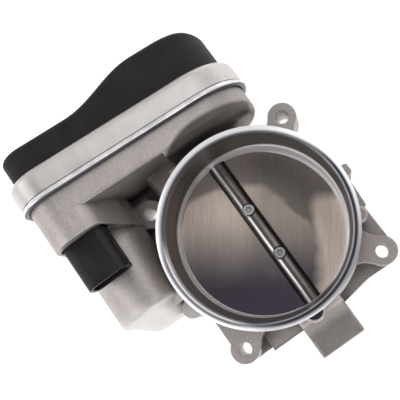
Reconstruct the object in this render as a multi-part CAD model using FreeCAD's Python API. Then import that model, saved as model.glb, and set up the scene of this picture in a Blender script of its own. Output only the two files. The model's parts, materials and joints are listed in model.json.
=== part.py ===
import FreeCAD, Part
import math
import os
from FreeCAD import Vector

# Electronic throttle body.  Millimetres.  +Z runs up the bore towards the inlet collar,
# +X along the throttle shaft towards the plugged bearing boss, and the gear case is on -X.
# The origin is the centre of the bore on the face that bolts to the intake manifold.

# ---- driving dimensions ----
BORE_R = 41.0            # throttle bore
THROAT_Z = 34.5          # where the straight bore ends and the bell mouth starts
MOUTH_R = 43.6           # bell mouth at the rim
COLLAR_R = 45.4          # hose collar below its bead
BEAD_R = 47.0            # hose bead at the rim
RIM_Z = 57.0             # overall height of the bore
LIP_ROUND = 0.6          # rounding on both sides of the rim
LIP_Z = RIM_Z - LIP_ROUND

BOLT_H = 41.0            # bolt holes at (+-41, +-41)
BOLT_R = 3.4
EAR_R = 7.2
EAR_Z = 23.5             # front face of the bolting ears
FLANGE_T = 8.0
FLANGE_R = 48.2

SHAFT_Z = 20.5           # throttle shaft above the mounting face
SHAFT_R = 4.65
SHAFT_STEP_R = 3.5       # gear end of the shaft
FIT = 0.03               # running fit, on radius
PLATE_R = 40.85
PLATE_T = 2.0
LIMP_DEG = 6.0           # the plate rests this far open
TRAVEL_DEG = 79.0        # from rest to wide open
SCREW_X = 13.0           # plate screws at +-13 on the shaft

BOSS_X = 66.0            # outer face of the plugged boss
BOSS_Y = 11.75
BOSS_LOW = 8.75
BOSS_HIGH = 32.25

# the gear case outline is the hull of three circles in the Y-Z plane: (y, z, r)
CASE_A = (1.8, SHAFT_Z, 34.0)
CASE_B = (-70.5, 62.0, 14.0)
CASE_C = (-58.0, 20.0, 27.0)
CASE_FLOOR_X = -54.0     # outside of the bowl floor
CASE_DEEP_X = -51.0      # outside of the floor round the shaft
CASE_INNER_X = -59.5     # inside of the bowl floor
BAND_LOW_X = -64.6       # lower lip of the closing band
BAND_TOP_X = -81.0       # shoulder of the closing band
BOWL_IN = 2.4            # how far the bowl wall stands inside the band
COVER_IN = 3.9           # how far the cover stands inside the band
RIM_X = -72.0            # the bowl's rim, where the gasket lies
COVER_FLAT_X = -94.5     # cover over the motor
COVER_HUMP_X = -104.2    # cover over the shaft end

MESH_DEG = 172.95        # direction from the throttle shaft to the idler, from +Y towards +Z
SECTOR_M = 1.0
SECTOR_N = 50            # teeth in a full turn of the sector
IDLER_SMALL_N = 14
IDLER_M = 0.8
IDLER_LARGE_N = 64
PINION_N = 18
PRESSURE_DEG = 20.0
BACKLASH = 0.14
STOP_DEGS = (73.0, 273.0)  # stop pins beside the ends of the sector's travel

MOTOR_R = 16.0           # motor can
MOTOR_HOUSE_R = 18.4     # casting round the motor
MOTOR_HOUSE_IN = 0.9     # the casting's centre lies this far from the motor's
MOTOR_END_X = 1.4        # end of that casting, before its nose
MOTOR_STEP_X = -37.9     # where the casting's wider root ends

CONN_Y = -68.5           # connector centre
CONN_Z = 57.0
CONN_W = 22.4
CONN_T = 16.4
CONN_ROUND = 5.2         # corners of the connector shell
CONN_MOUTH_X = -20.5


# ---- positions that follow ----
def polar(y, z, r, deg):
    a = math.radians(deg)
    return (y + r * math.cos(a), z + r * math.sin(a))


D1 = SECTOR_M * (SECTOR_N + IDLER_SMALL_N) / 2.0
D2 = IDLER_M * (IDLER_LARGE_N + PINION_N) / 2.0
IDLER_Y, IDLER_Z = polar(0.0, SHAFT_Z, D1, MESH_DEG)
MOTOR_Y, MOTOR_Z = polar(IDLER_Y, IDLER_Z, D2, MESH_DEG)
HOUSE_Y = MOTOR_Y - MOTOR_HOUSE_IN


# ---- small helpers ----
def box(x0, x1, y0, y1, z0, z1):
    return Part.makeBox(x1 - x0, y1 - y0, z1 - z0, Vector(x0, y0, z0))


def rod(x0, x1, y, z, r):
    return Part.makeCylinder(r, x1 - x0, Vector(x0, y, z), Vector(1, 0, 0))


def post(x, y, z0, z1, r):
    return Part.makeCylinder(r, z1 - z0, Vector(x, y, z0), Vector(0, 0, 1))


def tube_x(x0, x1, y, z, r_out, r_in):
    outer = rod(x0, x1, y, z, r_out)
    return outer.cut(rod(x0 - 1, x1 + 1, y, z, r_in))


def cone_x(x0, x1, y, z, r0, r1):
    return Part.makeCone(r0, r1, x1 - x0, Vector(x0, y, z), Vector(1, 0, 0))


def prism_z(points, z0, z1):
    corners = [Vector(x, y, z0) for x, y in points]
    face = Part.Face(Part.makePolygon(corners + [corners[0]]))
    return face.extrude(Vector(0, 0, z1 - z0))


def edges_along(shape, direction, where):
    found = []
    for edge in shape.Edges:
        if not isinstance(edge.Curve, Part.Line):
            continue
        if abs(abs(edge.Curve.Direction.dot(direction)) - 1) > 1e-6:
            continue
        if where(edge.CenterOfMass):
            found.append(edge)
    return found


def soften(shape, radius, direction, where=lambda c: True):
    return shape.makeFillet(radius, edges_along(shape, direction, where))


def tangent(first, second):
    # outward tangent points of two circles met in turn round a hull
    dy = second[0] - first[0]
    dz = second[1] - first[1]
    span = math.hypot(dy, dz)
    uy = dy / span
    uz = dz / span
    along = (first[2] - second[2]) / span
    across = math.sqrt(1.0 - along * along)
    ny = uy * along + uz * across
    nz = uz * along - uy * across
    start = (first[0] + first[2] * ny, first[1] + first[2] * nz)
    end = (second[0] + second[2] * ny, second[1] + second[2] * nz)
    return start, end, math.atan2(nz, ny)


def case_face(inset, x):
    circles = [(y, z, r - inset) for y, z, r in (CASE_A, CASE_B, CASE_C)]
    lines = [tangent(circles[i], circles[(i + 1) % 3]) for i in range(3)]
    edges = []
    for i in range(3):
        arrive = lines[i - 1]
        leave = lines[i]
        turn = (leave[2] - arrive[2]) % (2 * math.pi)
        middle = arrive[2] + turn / 2.0
        y, z, r = circles[i]
        mid = Vector(x, y + r * math.cos(middle), z + r * math.sin(middle))
        begin = Vector(x, arrive[1][0], arrive[1][1])
        finish = Vector(x, leave[0][0], leave[0][1])
        after = Vector(x, leave[1][0], leave[1][1])
        edges.append(Part.Arc(begin, mid, finish).toShape())
        edges.append(Part.LineSegment(finish, after).toShape())
    return Part.Face(Part.Wire(edges))


def case_slab(inset, x0, x1):
    return case_face(inset, x0).extrude(Vector(x1 - x0, 0, 0))


def case_edges(shape, x):
    return [e for e in shape.Edges if all(abs(v.X - x) < 1e-5 for v in e.Vertexes)]


def save(shape, name):
    if shape.ShapeType == "Compound" and len(shape.Solids) == 1:
        shape = shape.Solids[0]
    shape.exportStep("parts/" + name + ".step")
    print(name, len(shape.Solids), round(shape.Volume / 1000.0, 3), shape.isValid())


def limp(shape):
    # turns a piece drawn with the plate shut into its rest position
    turned = shape.copy()
    turned.rotate(Vector(0, 0, SHAFT_Z), Vector(1, 0, 0), -LIMP_DEG)
    return turned


# ---- gears, in the Y-Z plane ----
def involute(angle):
    return math.tan(angle) - angle


def gear(x0, x1, y, z, module, teeth, bore_r, tooth_deg):
    pitch = module * teeth / 2.0
    base = pitch * math.cos(math.radians(PRESSURE_DEG))
    tip = pitch + 0.8 * module
    root = pitch - 1.1 * module
    half = math.pi / (2.0 * teeth) - BACKLASH * module / (4.0 * pitch)
    spread = half + involute(math.radians(PRESSURE_DEG))
    start = max(base, root)
    radii = [start + (tip - start) * i / 4.0 for i in range(5)]
    side = [(r, spread - involute(math.acos(min(1.0, base / r)))) for r in radii]
    edges = []
    previous = None
    first = None
    for k in range(teeth):
        centre = math.radians(tooth_deg) + 2.0 * math.pi * k / teeth
        rise = [at(x0, y, z, r, centre - a) for r, a in side]
        fall = [at(x0, y, z, r, centre + a) for r, a in reversed(side)]
        foot = at(x0, y, z, root, centre - side[0][1])
        heel = at(x0, y, z, root, centre + side[0][1])
        if previous is not None:
            edges.append(Part.LineSegment(previous, foot).toShape())
        else:
            first = foot
        if start > root + 1e-6:
            edges.append(Part.LineSegment(foot, rise[0]).toShape())
        edges.append(spline(rise))
        edges.append(Part.LineSegment(rise[-1], fall[0]).toShape())
        edges.append(spline(fall))
        if start > root + 1e-6:
            edges.append(Part.LineSegment(fall[-1], heel).toShape())
        previous = heel
    edges.append(Part.LineSegment(previous, first).toShape())
    wheel = Part.Face(Part.Wire(edges)).extrude(Vector(x1 - x0, 0, 0))
    return wheel.cut(rod(x0 - 1, x1 + 1, y, z, bore_r))


def at(x, y, z, r, angle):
    return Vector(x, y + r * math.cos(angle), z + r * math.sin(angle))


def spline(points):
    curve = Part.BSplineCurve()
    curve.interpolate(points)
    return curve.toShape()


# ---- the casting ----
def barrel():
    profile = [
        (40.0, 0.0), (47.6, 0.0), (47.6, 26.0), (46.2, 34.0), (COLLAR_R, 42.0),
        (COLLAR_R, 51.0), (46.2, 52.2), (BEAD_R, 53.2), (BEAD_R, LIP_Z),
    ]
    edges = [Part.LineSegment(Vector(a[0], 0, a[1]), Vector(b[0], 0, b[1])).toShape()
             for a, b in zip(profile, profile[1:])]
    # a flat lip with a small round on each side
    lip_out = Vector(BEAD_R, 0, LIP_Z)
    lip_top = Vector(BEAD_R - LIP_ROUND, 0, RIM_Z)
    lip_in = Vector(MOUTH_R + LIP_ROUND, 0, RIM_Z)
    lip_low = Vector(MOUTH_R, 0, LIP_Z)
    reach = LIP_ROUND * math.sqrt(0.5)
    outer_mid = Vector(BEAD_R - LIP_ROUND + reach, 0, LIP_Z + reach)
    inner_mid = Vector(MOUTH_R + LIP_ROUND - reach, 0, LIP_Z + reach)
    edges.append(Part.Arc(lip_out, outer_mid, lip_top).toShape())
    edges.append(Part.LineSegment(lip_top, lip_in).toShape())
    edges.append(Part.Arc(lip_in, inner_mid, lip_low).toShape())
    edges.append(Part.LineSegment(lip_low, Vector(40.0, 0, THROAT_Z)).toShape())
    edges.append(Part.LineSegment(Vector(40.0, 0, THROAT_Z), Vector(40.0, 0, 0.0)).toShape())
    ring = Part.Face(Part.Wire(edges))
    return ring.revolve(Vector(0, 0, 0), Vector(0, 0, 1), 360)


def throat():
    # the air path: straight bore, then a bell mouth opening to the rim
    bore = post(0, 0, -1, THROAT_Z + 0.01, BORE_R)
    bell = Part.makeCone(BORE_R + 0.5, MOUTH_R, LIP_Z - THROAT_Z, Vector(0, 0, THROAT_Z))
    return bore.fuse(bell)


def flange():
    h = BOLT_H + EAR_R
    plate = post(0, 0, 0, FLANGE_T, FLANGE_R)
    far = prism_z([(1, 43), (1, 50.2), (17.4, 49.2), (18, h - 0.4), (BOLT_H, h), (h, BOLT_H), (h - 0.4, 28),
                   (50.4, 12), (50.4, -11), (38, -11), (30, 30)], 0, FLANGE_T)
    low = prism_z([(14, -44), (14, -45.8), (34, -46.2), (BOLT_H, -h), (h, -BOLT_H), (h - 0.2, -29),
                   (38, -28), (30, -38)], 0, FLANGE_T)
    pad = box(40, 50.0, -30.6, -10, 2.0, 12.0)
    return [plate, far, low, pad]


def ears():
    parts = []
    for sx in (-1, 1):
        for sy in (-1, 1):
            turn = math.degrees(math.atan2(sy, sx))
            web = prism_z([(43, -10.5), (47, -8.2), (50.5, -6.9), (58, -6.7),
                           (58, 6.7), (50.5, 6.9), (47, 8.2), (43, 10.5)], 0, EAR_Z)
            web.rotate(Vector(0, 0, 0), Vector(0, 0, 1), turn)
            parts.append(web)
            parts.append(post(sx * BOLT_H, sy * BOLT_H, 0, EAR_Z, EAR_R))
    # webs from two of the ears towards the motor
    parts.append(prism_z([(-48.2, -41), (-48.2, -54), (-40, -54), (-35.6, -46.2), (-34, -42)], 0, EAR_Z))
    parts.append(prism_z([(-50.4, -38), (-50.4, -52), (-46, -52), (-46, -38)], 0, EAR_Z - 3.5))
    parts.append(prism_z([(14, -44.5), (14, -45.5), (39, -45.4), (41, -41), (30, -33)], 0, EAR_Z))
    return parts


def far_boss():
    body = box(38, BOSS_X, -BOSS_Y, BOSS_Y, BOSS_LOW, BOSS_HIGH)
    body = soften(body, 1.4, Vector(1, 0, 0), lambda c: True)
    body = body.makeFillet(0.9, case_edges(body, BOSS_X))
    # a hollow curve carries the boss's front face up to the collar
    reach = 10.8
    y = -BOSS_Y + 0.6
    foot = Vector(COLLAR_R + 0.8 + reach, y, BOSS_HIGH)
    crown = Vector(COLLAR_R + 0.8, y, BOSS_HIGH + reach)
    turn = reach * math.sqrt(0.5)
    middle = Vector(foot.x - turn, y, crown.z - turn)
    back_low = Vector(42, y, BOSS_HIGH - 2)
    back_high = Vector(42, y, crown.z)
    edges = [
        Part.Arc(foot, middle, crown).toShape(),
        Part.LineSegment(crown, back_high).toShape(),
        Part.LineSegment(back_high, back_low).toShape(),
        Part.LineSegment(back_low, Vector(foot.x, y, BOSS_HIGH - 2)).toShape(),
        Part.LineSegment(Vector(foot.x, y, BOSS_HIGH - 2), foot).toShape(),
    ]
    rise = Part.Face(Part.Wire(edges)).extrude(Vector(0, 2 * (BOSS_Y - 0.6), 0))
    return [body, rise]


def capped_post(x, y, z0, z1, r):
    body = post(x, y, z0, z1, r)
    top = [e for e in body.Edges if all(abs(v.Z - z1) < 1e-5 for v in e.Vertexes)]
    return body.makeChamfer(0.6, top)


def pads():
    return [
        capped_post(45.2, -1.8, 25, 44.5, 5.5),
        capped_post(21.0, 41.8, 5, 34, 3.9),
        soften(box(-2.0, 3.6, 42, 51.0, 5, 39), 1.4, Vector(0, 0, 1), lambda c: c.y > 48),
        post(10.5, -49.0, 5, 33, 5.2),
        soften(box(-3.0, 5.0, -55, -44, 10, 38), 1.5, Vector(0, 0, 1)),
    ]


def neck():
    # joins the barrel to the gear case round the shaft and below it
    hub = box(-60, -40, -21, 22, 5, 31)
    hub = soften(hub, 3.0, Vector(1, 0, 0))
    # a saddle with a hollow face slopes from the bowl floor down to the barrel
    y = -33.0
    side = [(-38, 24), (-38, 5), (-60, 5), (-60, 46), (-55.9, 46)]
    corners = [Vector(x, y, z) for x, z in side]
    edges = [Part.LineSegment(a, b).toShape() for a, b in zip(corners, corners[1:])]
    edges.append(Part.Arc(corners[-1], Vector(-51.2, y, 30.6), corners[0]).toShape())
    saddle = Part.Face(Part.Wire(edges)).extrude(Vector(0, 18, 0))
    hollow = [e for e in saddle.Edges if isinstance(e.Curve, Part.Circle) and e.CenterOfMass.y < y + 1]
    saddle = saddle.makeFillet(5.0, hollow)
    rib = box(-60, -22, -60, -18, 2, 14)
    return [hub, rib, saddle]


def bowl():
    shell = case_slab(BOWL_IN, RIM_X, CASE_FLOOR_X)
    shell = shell.makeFillet(1.2, case_edges(shell, CASE_FLOOR_X))
    rim = case_slab(1.6, RIM_X, RIM_X + 4.5)
    # the bowl is deeper round the shaft
    deep = case_slab(BOWL_IN, CASE_FLOOR_X - 4, CASE_DEEP_X)
    deep = deep.makeFillet(4.7, case_edges(deep, CASE_DEEP_X))
    deep = deep.common(box(-70, -40, -15, 60, -40, 90))
    return [shell, rim, deep]


def bowl_space():
    space = case_slab(5.4, RIM_X - 1, CASE_INNER_X)
    hub = rod(CASE_INNER_X, CASE_INNER_X + 0.01, 0, SHAFT_Z, 1)
    return space.cut(hub)


def motor_house():
    body = rod(CASE_FLOOR_X - 1, MOTOR_END_X, HOUSE_Y, MOTOR_Z, MOTOR_HOUSE_R)
    body = body.makeFillet(3.2, case_edges(body, MOTOR_END_X))
    root = Vector(MOTOR_END_X - 0.5, HOUSE_Y, MOTOR_Z)
    near = Part.Wire(Part.makeCircle(15.6, root, Vector(1, 0, 0)))
    far = Part.Wire(Part.makeCircle(11.2, Vector(9.4, HOUSE_Y + 5.0, 22.4), Vector(1, 0, 0)))
    nose = Part.makeLoft([near, far], True)
    collar = rod(CASE_FLOOR_X - 1, MOTOR_STEP_X, HOUSE_Y, MOTOR_Z, MOTOR_HOUSE_R + 0.8)
    return [body, nose, collar]


def pocket():
    # the hood the connector comes out of
    hood = case_slab(BOWL_IN, CASE_FLOOR_X - 4, -43.0)
    hood = hood.common(box(-70, -30, -95, -55.0, 38, 90))
    hood = soften(hood, 9.5, Vector(1, 0, 0), lambda c: c.z > 60 and c.y > -57)
    # a shoulder slopes from the hood down to the casting round the motor
    profile = [(-66, 65.7), (-55.6, 65.7), (-47.5, 43.5), (-47.5, 24), (-66, 24)]
    corners = [Vector(CASE_FLOOR_X - 1, y, z) for y, z in profile]
    face = Part.Face(Part.makePolygon(corners + [corners[0]]))
    shoulder = face.extrude(Vector(MOTOR_STEP_X - CASE_FLOOR_X + 1, 0, 0))
    shoulder = soften(shoulder, 4.0, Vector(1, 0, 0), lambda c: c.y > -50 and c.z > 40)
    slant = [(-70, -70), (-43.5, -70), (-43.5, -58), (MOTOR_STEP_X, -47), (-70, -47)]
    return [hood, shoulder.common(prism_z(slant, 0, 90))]


def housing():
    body = barrel()
    for piece in flange() + ears() + far_boss() + pads() + neck() + bowl() + motor_house() + pocket():
        body = body.fuse(piece)
    body = body.cut(bowl_space())
    body = body.cut(throat())
    hub = tube_x(CASE_INNER_X - 2.0, CASE_INNER_X + 0.5, 0, SHAFT_Z, 12.5, 9.0)
    body = body.fuse(hub)
    body = body.fuse(rod(-63.0, CASE_INNER_X + 0.5, IDLER_Y, IDLER_Z, 5.5))
    for y, z in stop_places():
        body = body.fuse(rod(-62.0, CASE_INNER_X + 0.5, y, z, 4.0))
    body = body.cut(rod(-62, 62, 0, SHAFT_Z, SHAFT_R + 0.4))
    body = body.cut(rod(-62, -51, 0, SHAFT_Z, 9.5))
    body = body.cut(rod(-51.01, -48, 0, SHAFT_Z, 7.0))
    body = body.cut(rod(49, BOSS_X + 1, 0, SHAFT_Z, 9.5))
    body = body.cut(rod(-60, -2.5, MOTOR_Y, MOTOR_Z, MOTOR_R + 0.3))
    body = body.cut(rod(-65, -57.0, IDLER_Y, IDLER_Z, 2.5))
    for y, z in motor_screw_places():
        body = body.cut(rod(-60, -56.5, y, z, 1.7))
    for sx in (-1, 1):
        for sy in (-1, 1):
            body = body.cut(post(sx * BOLT_H, sy * BOLT_H, -1, EAR_Z + 1, BOLT_R))
    body = body.cut(connector_space())
    for y, z in stop_places():
        body = body.cut(rod(-65, -57.5, y, z, 2.0))
    return body.removeSplitter()


def motor_screw_places():
    return [polar(MOTOR_Y, MOTOR_Z, 21.0, deg) for deg in (250, 340)]


def connector_space():
    half_w = CONN_W / 2.0 + 0.9
    half_t = CONN_T / 2.0 + 0.9
    mouth = box(-57.5, -42, CONN_Y - half_w, CONN_Y + half_w, CONN_Z - half_t, CONN_Z + half_t)
    mouth = soften(mouth, CONN_ROUND + 0.9, Vector(1, 0, 0))
    inner = box(-60, -57, CONN_Y - 10, CONN_Y + 10, CONN_Z - 6, CONN_Z + 6)
    return mouth.fuse(inner)


# ---- bearings, seals and plug ----
def bearing(x0, x1):
    ring = tube_x(x0, x1, 0, SHAFT_Z, 9.5, SHAFT_R + FIT)
    groove_out = tube_x(x0 - 1, x0 + 0.6, 0, SHAFT_Z, 8.1, 5.6)
    groove_in = tube_x(x1 - 0.6, x1 + 1, 0, SHAFT_Z, 8.1, 5.6)
    return ring.cut(groove_out).cut(groove_in)


def plug():
    cup = rod(61.2, 63.8, 0, SHAFT_Z, 9.5)
    cup = cup.cut(rod(62.2, 64.5, 0, SHAFT_Z, 8.2))
    return cup


# ---- throttle shaft and what turns with it ----
def shaft():
    main = rod(-68.5, 60.0, 0, SHAFT_Z, SHAFT_R)
    end = rod(-96.0, -68.0, 0, SHAFT_Z, SHAFT_STEP_R)
    body = main.fuse(end)
    slot = box(-PLATE_R, PLATE_R, -6, 6, SHAFT_Z - PLATE_T / 2, SHAFT_Z + PLATE_T / 2)
    body = body.cut(slot)
    for x in (-SCREW_X, SCREW_X):
        body = body.cut(post(x, 0, SHAFT_Z + 3.5, SHAFT_Z + 6, 3.4))
        body = body.cut(post(x, 0, SHAFT_Z - 6, SHAFT_Z + 6, 2.0))
    return limp(body)


def plate():
    disc = post(0, 0, SHAFT_Z - PLATE_T / 2, SHAFT_Z + PLATE_T / 2, PLATE_R)
    for x in (-SCREW_X, SCREW_X):
        disc = disc.cut(post(x, 0, SHAFT_Z - 6, SHAFT_Z + 6, 2.0))
    return limp(disc)


def star(x, y, z0, z1, r):
    cut = post(x, y, z0, z1, r * 0.78)
    for k in range(6):
        a = math.radians(60 * k)
        cut = cut.fuse(post(x + 0.8 * r * math.cos(a), y + 0.8 * r * math.sin(a), z0, z1, 0.24 * r))
    return cut


def plate_screws():
    solids = []
    for x in (-SCREW_X, SCREW_X):
        head = Part.makeCone(3.1, 2.6, 1.7, Vector(x, 0, SHAFT_Z + 3.5), Vector(0, 0, 1))
        shank = post(x, 0, SHAFT_Z - 5.0, SHAFT_Z + 3.6, 2.0)
        screw = head.fuse(shank).cut(star(x, 0, SHAFT_Z + 4.1, SHAFT_Z + 6, 1.7))
        solids.append(limp(screw))
    return Part.makeCompound(solids)


def sector():
    wheel = gear(-76.0, -69.0, 0, SHAFT_Z, SECTOR_M, SECTOR_N, 20.0, MESH_DEG)
    wedge = [Vector(-77, 0, SHAFT_Z)]
    low = math.radians(MESH_DEG - LIMP_DEG - 9.0)
    high = math.radians(MESH_DEG + TRAVEL_DEG + 9.0)
    for k in range(7):
        wedge.append(at(-77, 0, SHAFT_Z, 40, low + (high - low) * k / 6.0))
    keep = Part.Face(Part.makePolygon(wedge + [wedge[0]])).extrude(Vector(9, 0, 0))
    rim = wheel.common(keep)
    web = rod(-73.5, -71.5, 0, SHAFT_Z, 21.5).common(keep)
    hub = rod(-76.0, -69.0, 0, SHAFT_Z, 8.0)
    body = rim.fuse(web).fuse(hub)
    return body.cut(rod(-77, -68, 0, SHAFT_Z, SHAFT_STEP_R)).removeSplitter()


def sleeve():
    return tube_x(-85.0, -76.0, 0, SHAFT_Z, 4.7, SHAFT_STEP_R)


def rotor():
    body = tube_x(-90.5, -85.0, 0, SHAFT_Z, 10.0, SHAFT_STEP_R)
    lobe = box(-90.5, -85.0, 2, 13.5, SHAFT_Z - 4.5, SHAFT_Z + 4.5)
    lobe = lobe.cut(rod(-92, -84, 0, SHAFT_Z, 9.9))
    return body.fuse(lobe).removeSplitter()


def nut():
    corners = [at(-94.5, 0, SHAFT_Z, 5.8, math.radians(60 * k)) for k in range(7)]
    body = Part.Face(Part.makePolygon(corners)).extrude(Vector(4.0, 0, 0))
    return body.cut(rod(-96, -89, 0, SHAFT_Z, SHAFT_STEP_R))


def spring():
    # a torsion coil round the bearing hub, its path made of short tangent arcs
    wire_r = 0.6
    coil_r = 9.9
    pitch = 1.55
    steps = 8
    places = []
    for k in range(3 * steps * 2 + 1):
        turn = math.pi * k / steps
        along = -62.9 - pitch * turn / (2 * math.pi)
        places.append(at(along, 0, SHAFT_Z, coil_r, turn))
    arcs = [Part.Arc(places[i], places[i + 1], places[i + 2]).toShape()
            for i in range(0, len(places) - 2, 2)]
    slope = Vector(-pitch / (2 * math.pi), 0, coil_r)
    ring = Part.Wire(Part.makeCircle(wire_r, places[0], slope.normalize()))
    return Part.Wire(arcs).makePipeShell([ring], True, True)


# ---- idler ----
def idler_pin():
    body = rod(-88.0, -57.0, IDLER_Y, IDLER_Z, 2.5)
    return body.makeChamfer(0.5, case_edges(body, -88.0))


def idler():
    large = gear(-83.0, -77.2, IDLER_Y, IDLER_Z, IDLER_M, IDLER_LARGE_N, 22.0,
                 MESH_DEG + 180.0 / IDLER_LARGE_N)
    web = rod(-81.0, -78.8, IDLER_Y, IDLER_Z, 22.5)
    small = gear(-77.5, -68.6, IDLER_Y, IDLER_Z, SECTOR_M, IDLER_SMALL_N, 2.5,
                 MESH_DEG + 180.0 + 180.0 / IDLER_SMALL_N)
    hub = rod(-84.5, -76.9, IDLER_Y, IDLER_Z, 6.0)
    collar = rod(-68.6, -63.3, IDLER_Y, IDLER_Z, 4.6)
    body = large.fuse(web).fuse(small).fuse(hub).fuse(collar)
    for k in range(6):
        y, z = polar(IDLER_Y, IDLER_Z, 14.0, 60 * k)
        body = body.cut(rod(-82, -78, y, z, 4.2))
    return body.cut(rod(-86, -59, IDLER_Y, IDLER_Z, 2.5 + FIT)).removeSplitter()


# ---- motor ----
def motor_can():
    body = tube_x(-59.4, -4.5, MOTOR_Y, MOTOR_Z, MOTOR_R, MOTOR_R - 1.5)
    end = rod(-5.0, -3.5, MOTOR_Y, MOTOR_Z, MOTOR_R).cut(rod(-6, -2, MOTOR_Y, MOTOR_Z, 3.4))
    return body.fuse(end).removeSplitter()


def motor_bush():
    front = tube_x(-61.4, -58.4, MOTOR_Y, MOTOR_Z, 3.9, 2.0 + FIT)
    back = tube_x(-8.0, -3.5, MOTOR_Y, MOTOR_Z, 3.4, 2.0 + FIT)
    return Part.makeCompound([front, back])


def motor_plate():
    disc = rod(-61.4, -59.5, MOTOR_Y, MOTOR_Z, 17.6)
    for y, z in motor_screw_places():
        disc = disc.fuse(rod(-61.4, -59.5, y, z, 3.8))
    disc = disc.common(case_slab(5.7, -62, -59))
    for y, z in motor_screw_places():
        disc = disc.cut(rod(-62, -59, y, z, 1.7))
    return disc.cut(rod(-62, -59, MOTOR_Y, MOTOR_Z, 3.9)).removeSplitter()


def motor_screws():
    solids = []
    for y, z in motor_screw_places():
        head = rod(-63.4, -61.4, y, z, 3.0).cut(rod(-64, -62.4, y, z, 1.2))
        solids.append(head.fuse(rod(-61.5, -56.7, y, z, 1.7)))
    return Part.makeCompound(solids)


def magnets():
    ring = tube_x(-44.0, -12.0, MOTOR_Y, MOTOR_Z, MOTOR_R - 1.5, 11.2)
    gap = box(-50, -5, MOTOR_Y - 4, MOTOR_Y + 4, MOTOR_Z - 20, MOTOR_Z + 20)
    return ring.cut(gap)


def armature():
    body = rod(-43.0, -13.0, MOTOR_Y, MOTOR_Z, 10.6)
    for k in range(5):
        a = 72 * k
        slot = box(-45, -10, MOTOR_Y + 6.0, MOTOR_Y + 12, MOTOR_Z - 1.0, MOTOR_Z + 1.0)
        slot.rotate(Vector(0, MOTOR_Y, MOTOR_Z), Vector(1, 0, 0), a)
        body = body.cut(slot)
    return body.cut(rod(-50, -5, MOTOR_Y, MOTOR_Z, 2.0))


def commutator():
    return tube_x(-55.0, -47.0, MOTOR_Y, MOTOR_Z, 5.0, 2.0)


def brush_holder():
    ring = tube_x(-58.3, -46.5, MOTOR_Y, MOTOR_Z, MOTOR_R - 1.5, 9.5)
    window = box(-56, -48, MOTOR_Y - 20, MOTOR_Y + 20, MOTOR_Z - 2.5, MOTOR_Z + 2.5)
    return ring.cut(window)


def brushes():
    solids = []
    for side in (-1, 1):
        y0 = MOTOR_Y + side * 5.15
        y1 = MOTOR_Y + side * 12.5
        solids.append(box(-55.5, -48.5, min(y0, y1), max(y0, y1), MOTOR_Z - 2.0, MOTOR_Z + 2.0))
    return Part.makeCompound([s.cut(rod(-60, -40, MOTOR_Y, MOTOR_Z, 5.15)) for s in solids])


def motor_shaft():
    return rod(-84.0, -3.8, MOTOR_Y, MOTOR_Z, 2.0)


def pinion():
    return gear(-83.6, -76.6, MOTOR_Y, MOTOR_Z, IDLER_M, PINION_N, 2.0, MESH_DEG + 180.0)


# ---- gear case cover, band and gasket ----
def cover_top(lift):
    # side view of the cover's top, swept across the case; lift moves it towards the casting
    flat = COVER_FLAT_X + lift
    high = COVER_HUMP_X + lift
    left = Vector(flat, -95, -40)
    foot = Vector(flat, -44, -40)
    crest = Vector(high, -2, -40)
    brow = Vector(high, 20, -40)
    side = Vector(high + 14, 36, -40)
    poles = [foot, Vector(flat, -29, -40), Vector(high, -17, -40), crest]
    ramp = Part.BezierCurve()
    ramp.setPoles(poles)
    fall = Part.BezierCurve()
    fall.setPoles([brow, Vector(high, 32, -40), side])
    edges = [
        Part.LineSegment(left, foot).toShape(),
        ramp.toShape(),
        Part.LineSegment(crest, brow).toShape(),
        fall.toShape(),
        Part.LineSegment(side, Vector(-60, 45, -40)).toShape(),
        Part.LineSegment(Vector(-60, 45, -40), Vector(-60, -95, -40)).toShape(),
        Part.LineSegment(Vector(-60, -95, -40), left).toShape(),
    ]
    return Part.Face(Part.Wire(edges)).extrude(Vector(0, 0, 140))


def cover():
    dome = case_slab(COVER_IN, -110, RIM_X - 1).common(cover_top(0))
    top = [e for e in dome.Edges if e.BoundBox.XMax < -88 and e.BoundBox.XMin < -90
           and e.BoundBox.XLength < 14]
    dome = soften_best(dome, top, 3.2)
    foot = case_slab(1.6, RIM_X - 4.6, RIM_X - 1)
    space = case_slab(COVER_IN + 2.4, -110, RIM_X - 0.5).common(cover_top(2.6))
    body = dome.fuse(foot).cut(space)
    return body.removeSplitter()


def soften_best(shape, edges, radius):
    for r in (radius, radius * 0.6, radius * 0.3):
        try:
            rounded = shape.makeFillet(r, edges)
        except Part.OCCError:
            continue
        if rounded.isValid():
            return rounded
    return shape


def band():
    outer = case_slab(0.0, BAND_TOP_X, BAND_LOW_X)
    outer = outer.makeFillet(3.8, case_edges(outer, BAND_TOP_X))
    outer = outer.makeChamfer(1.5, case_edges(outer, BAND_LOW_X))
    inner = case_slab(1.6, RIM_X - 5.5, RIM_X + 4.5)
    lower = case_slab(BOWL_IN, RIM_X, BAND_LOW_X + 1)
    upper = case_slab(COVER_IN, BAND_TOP_X - 1, RIM_X)
    groove = case_slab(-1, -68.3, -67.6).cut(case_slab(0.6, -68.4, -67.5))
    return outer.cut(inner).cut(lower).cut(upper).cut(groove).removeSplitter()


def gasket():
    ring = case_slab(1.6, RIM_X - 1, RIM_X)
    return ring.cut(case_slab(5.2, RIM_X - 2, RIM_X + 1))


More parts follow.
